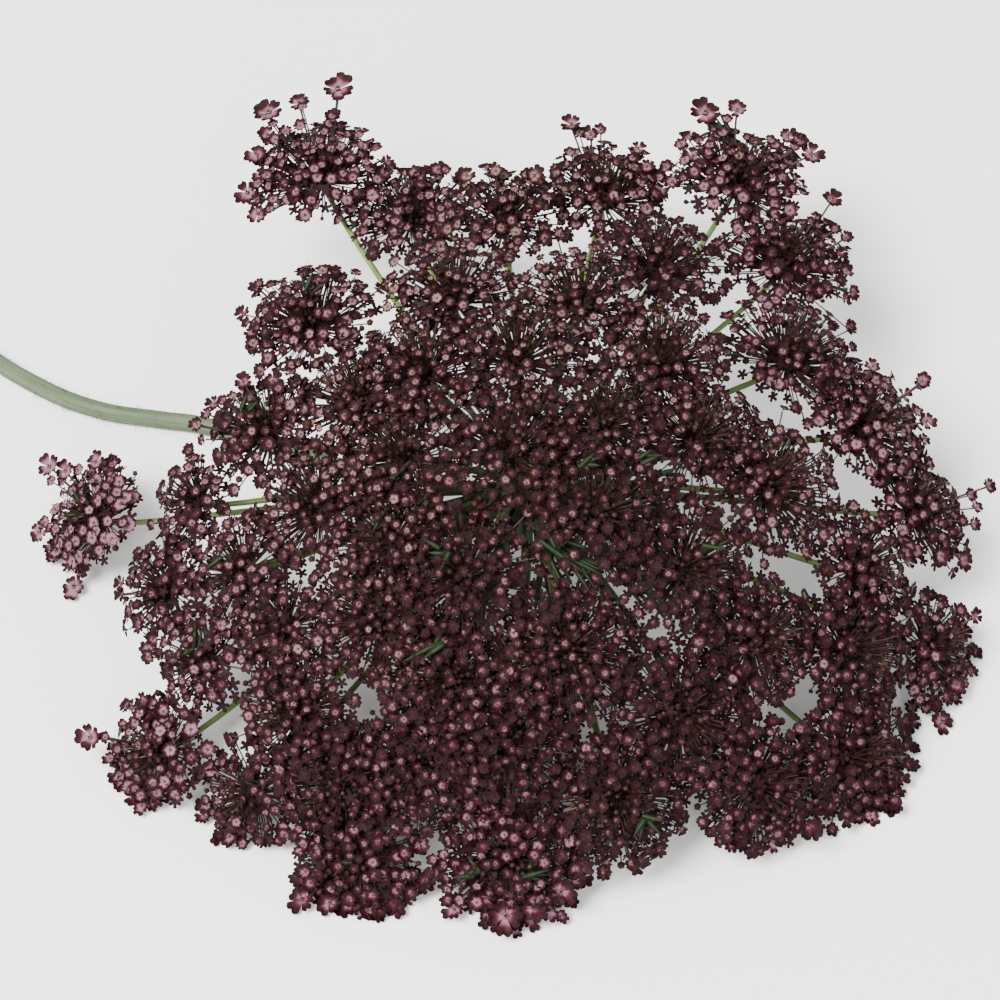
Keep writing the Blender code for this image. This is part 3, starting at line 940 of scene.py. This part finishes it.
def stem_material():
    """Soft grey-green with lengthwise streaks, a little purple and a fine bloom."""
    look = Look("stem_skin")
    place = look.layer("place")[0]
    stretched = look.node("ShaderNodeMapping", {"Vector": place, "Scale": (26.0, 9.0, 1.0)}).outputs[0]
    noise = look.node("ShaderNodeTexNoise", {"Vector": stretched, "Scale": 1.0, "Detail": 6.0})
    streaks = noise.outputs[0]
    blotches = look.maths("MULTIPLY", look.mottle(160.0, 4.0), 0.35)
    look.paint(look.ramp(look.maths("ADD", look.maths("MULTIPLY", streaks, 0.65), blotches), STEM_COLOURS))
    look.roughen(streaks, 0.5, 0.8)
    look.bump(streaks, 0.45, 0.15 * MM)
    look.shine(0.25)
    return look.material


def pith_material():
    """The cut end of the stem: pale pith in fine cells."""
    look = Look("cut_pith")
    place = look.node("ShaderNodeTexCoord").outputs["Object"]
    cells = look.node("ShaderNodeTexVoronoi", {"Vector": place, "Scale": 2600.0}).outputs["Distance"]
    look.paint(look.ramp(cells, ((0.0, (0.50, 0.52, 0.36)), (0.7, (0.36, 0.40, 0.22)))))
    look.roughen(cells, 0.6, 0.85)
    return look.material


def floor_material():
    """A plain pale table with the faintest unevenness."""
    look = Look("table")
    noise = look.node("ShaderNodeTexNoise", {"Scale": 6.0, "Detail": 3.0}).outputs[0]
    look.paint(look.ramp(noise, ((0.3, (0.86, 0.86, 0.855)), (0.7, (0.90, 0.90, 0.895)))))
    look.shader.inputs["Roughness"].default_value = 0.85
    return look.material


def stem_centres():
    """Centre line of the receptacle and stem, as points with a radius each."""
    points = []
    for along, radius in RECEPTACLE_PROFILE:
        points.append((np.array(HUB + HEAD_TURN @ Vector((0, 0, along * MM))), radius * MM))
    foot = Vector((HUB.x, HUB.y, 0))
    route = [Vector(points[-1][0])] + [foot + Vector(spot) * MM for spot in STEM_ROUTE]
    route.insert(0, Vector(points[-3][0]))
    route.append(2 * route[-1] - route[-2])
    for number in range(1, len(route) - 2):
        first, second = route[number], route[number + 1]
        leaving = first + (second - route[number - 1]) / 6
        arriving = second - (route[number + 2] - first) / 6
        for point in geometry.interpolate_bezier(first, leaving, arriving, second, STEM_STEPS + 1)[1:]:
            points.append((np.array(point), STEM_RADIUS))
    return points


def make_stem(materials):
    """The ridged stem with its swollen top, short hairs and a clean cut end."""
    centres = stem_centres()
    path = np.array([centre for centre, _ in centres])
    radii = [radius for _, radius in centres]
    points, faces, places = tube_shape(path, radii, STEM_SIDES, close_end=False)
    around = np.arange(len(points)) % STEM_SIDES
    ridge = 1 + STEM_RIDGE * np.cos(around * math.tau / STEM_RIDGES) - STEM_RIDGE
    middle = path[np.arange(len(points)) // STEM_SIDES]
    points = middle + (points - middle) * ridge[:, None]
    batch = Batch()
    batch.add((points, faces, places), look=SKIN_LOOK)
    add_cut_end(batch, path, points[-STEM_SIDES:])
    add_stem_hairs(batch, path)
    return batch.build("stem_surface", materials)


def add_cut_end(batch, path, last_ring):
    """The cut end: a flat rim of the skin round slightly sunken pith."""
    inner = path[-1] + (last_ring - path[-1]) * CUT_RIM
    centre = path[-1] - unit(path[-1] - path[-2]) * CUT_HOLLOW
    cap = np.concatenate([last_ring, inner, [centre]])
    faces = grid_faces(2, STEM_SIDES, closed=True)
    for side in range(STEM_SIDES):
        faces.append((STEM_SIDES + side, STEM_SIDES + (side + 1) % STEM_SIDES, 2 * STEM_SIDES))
    batch.add((cap, np.array(faces), np.full((len(cap), 2), 0.5)), look=PITH_LOOK)


def add_stem_hairs(batch, path):
    """Short hairs all over the stem but for its underside."""
    draws = np.random.RandomState(STEM_SEED)
    for _ in range(STEM_HAIRS):
        where = draws.randint(HAIRLESS_RINGS, len(path) - 1)
        heading = unit(path[where] - path[where - 1])
        side = unit(np.cross(heading, draws.normal(size=3)))
        if side[2] < -0.6:
            continue
        root = path[where] + side * STEM_RADIUS * 0.9 + heading * draws.uniform(-1, 1) * MM
        tip = root + side * draws.uniform(0.5, 0.9) * MM + heading * draws.uniform(-0.4, 0.1) * MM
        batch.add(tube_shape([root, tip], [0.05 * MM, 0.012 * MM], 3), look=SKIN_LOOK)


def bract_point(x, y, bearing):
    """A point of a flat bract, bent outward and down from the receptacle."""
    angle = math.radians(bearing)
    away = Vector((math.cos(angle), math.sin(angle), 0))
    sideways = Vector((-away.y, away.x, 0))
    spot = away * (BRACT_ROOT_RADIUS + x) + sideways * y
    spot.z = -BRACT_ROOT_DROP - BRACT_SLOPE * x - BRACT_SAG * x * x + BRACT_RISE
    return np.array(HUB + HEAD_TURN @ spot)


def add_lobe(batch, root, angle, length, width, bearing):
    """One narrow pointed lobe of a bract, from a root on the flat leaf."""
    points = []
    for step in range(LOBE_STEPS + 1):
        v = step / LOBE_STEPS
        half = width / 2 * (0.75 + 0.25 * math.sin(math.pi * v)) * (1 - v ** 4) + 0.02 * MM
        x = root[0] + math.cos(angle) * length * v
        y = root[1] + math.sin(angle) * length * v * (1 - 0.25 * v)
        side = (-math.sin(angle) * half, math.cos(angle) * half)
        lift = np.array((0, 0, half * 0.5))
        left = bract_point(x + side[0], y + side[1], bearing)
        right = bract_point(x - side[0], y - side[1], bearing)
        middle = bract_point(x, y, bearing)
        points += [left + lift * 0.4, middle, right + lift * 0.4, middle - lift]
    batch.add(diamond_tube(points, LOBE_STEPS))


def make_bract(number, bearing, material):
    """One feathery bract: a midrib with forked side lobes that fork again."""
    batch = Batch()
    add_lobe(batch, (0, 0), 0.0, BRACT_LENGTH, MIDRIB_WIDTH, bearing)
    for place, share in BRACT_LOBES:
        for hand in (1, -1):
            angle = hand * LOBE_ANGLE
            root = (place * BRACT_LENGTH, hand * 0.2 * MM)
            length = share * BRACT_LENGTH
            add_lobe(batch, root, angle, length, LOBE_WIDTH, bearing)
            fork = (root[0] + math.cos(angle) * length * 0.45, root[1] + math.sin(angle) * length * 0.40)
            add_lobe(batch, fork, angle - hand * FORK_TURN, length * 0.5, FORK_WIDTH, bearing)
    return batch.build(f"bract_leaf_{number}", [material])


def make_floor(material):
    """The pale table."""
    bpy.ops.mesh.primitive_plane_add(size=TABLE_SIZE, location=(0, 0, -TABLE_DROP))
    floor = bpy.context.object
    floor.name = "table"
    floor.data.materials.append(material)


def make_lights():
    """Even daylight from all round, with broad soft lights above to the left and in front."""
    world = bpy.data.worlds.new("studio")
    world.use_nodes = True
    background = world.node_tree.nodes["Background"]
    background.inputs["Color"].default_value = (1.0, 1.0, 1.0, 1)
    background.inputs["Strength"].default_value = DAYLIGHT
    bpy.context.scene.world = world
    for name, spot, width, power in LIGHTS:
        data = bpy.data.lights.new(name, "AREA")
        data.size = width
        data.energy = power
        lamp = bpy.data.objects.new(name, data)
        lamp.location = spot
        lamp.rotation_euler = (HUB - Vector(spot)).to_track_quat("-Z", "Y").to_euler()
        bpy.context.collection.objects.link(lamp)


def make_camera():
    """A long lens at the photograph's viewing angle."""
    middle = HUB + VIEW_RIGHT * MIDDLE_RIGHT_OF_HUB + VIEW_UP * MIDDLE_ABOVE_HUB
    data = bpy.data.cameras.new("camera")
    data.sensor_width = SENSOR_WIDTH
    data.lens = SENSOR_WIDTH * CAMERA_DISTANCE / PHOTO_WIDTH
    data.clip_start = 0.01
    camera = bpy.data.objects.new("camera", data)
    camera.location = middle + VIEW_BACK * CAMERA_DISTANCE
    camera.rotation_euler = (-VIEW_BACK).to_track_quat("-Z", "Y").to_euler()
    bpy.context.collection.objects.link(camera)
    bpy.context.scene.camera = camera


def place_piece(piece, node):
    """Ride on the one body and stand for a node."""
    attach(piece, "root")
    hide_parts(node)


def build():
    """Build the camera, lights, table and every visible piece."""
    make_camera()
    make_lights()
    make_floor(floor_material())
    bracteole = leaf_material("bracteole", (0.055, 0.105, 0.030), (0.13, 0.20, 0.07), (0.07, 0.03, 0.03))
    tip = leaf_material("leaf_tip", (0.005, 0.012, 0.003), (0.014, 0.026, 0.007), (0.012, 0.012, 0.005))
    bract = leaf_material("bract_leaf", (0.018, 0.062, 0.022), (0.055, 0.125, 0.045), (0.03, 0.04, 0.02))
    materials = {"floret": [petal_material(), core_material()], "stalk": [stalk_material(), bracteole, tip]}
    place_piece(make_stem([stem_material(), pith_material()]), "stem")
    for number, bearing in enumerate(BRACT_BEARINGS):
        place_piece(make_bract(number + 1, bearing, bract), f"bract_{number + 1}")
    names = sorted(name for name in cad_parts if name.startswith("umbellet_"))
    for number, name in enumerate(names):
        florets, stalks = make_umbellet(name, number + 1, materials)
        place_piece(florets, name)
        place_piece(stalks, name)


build()
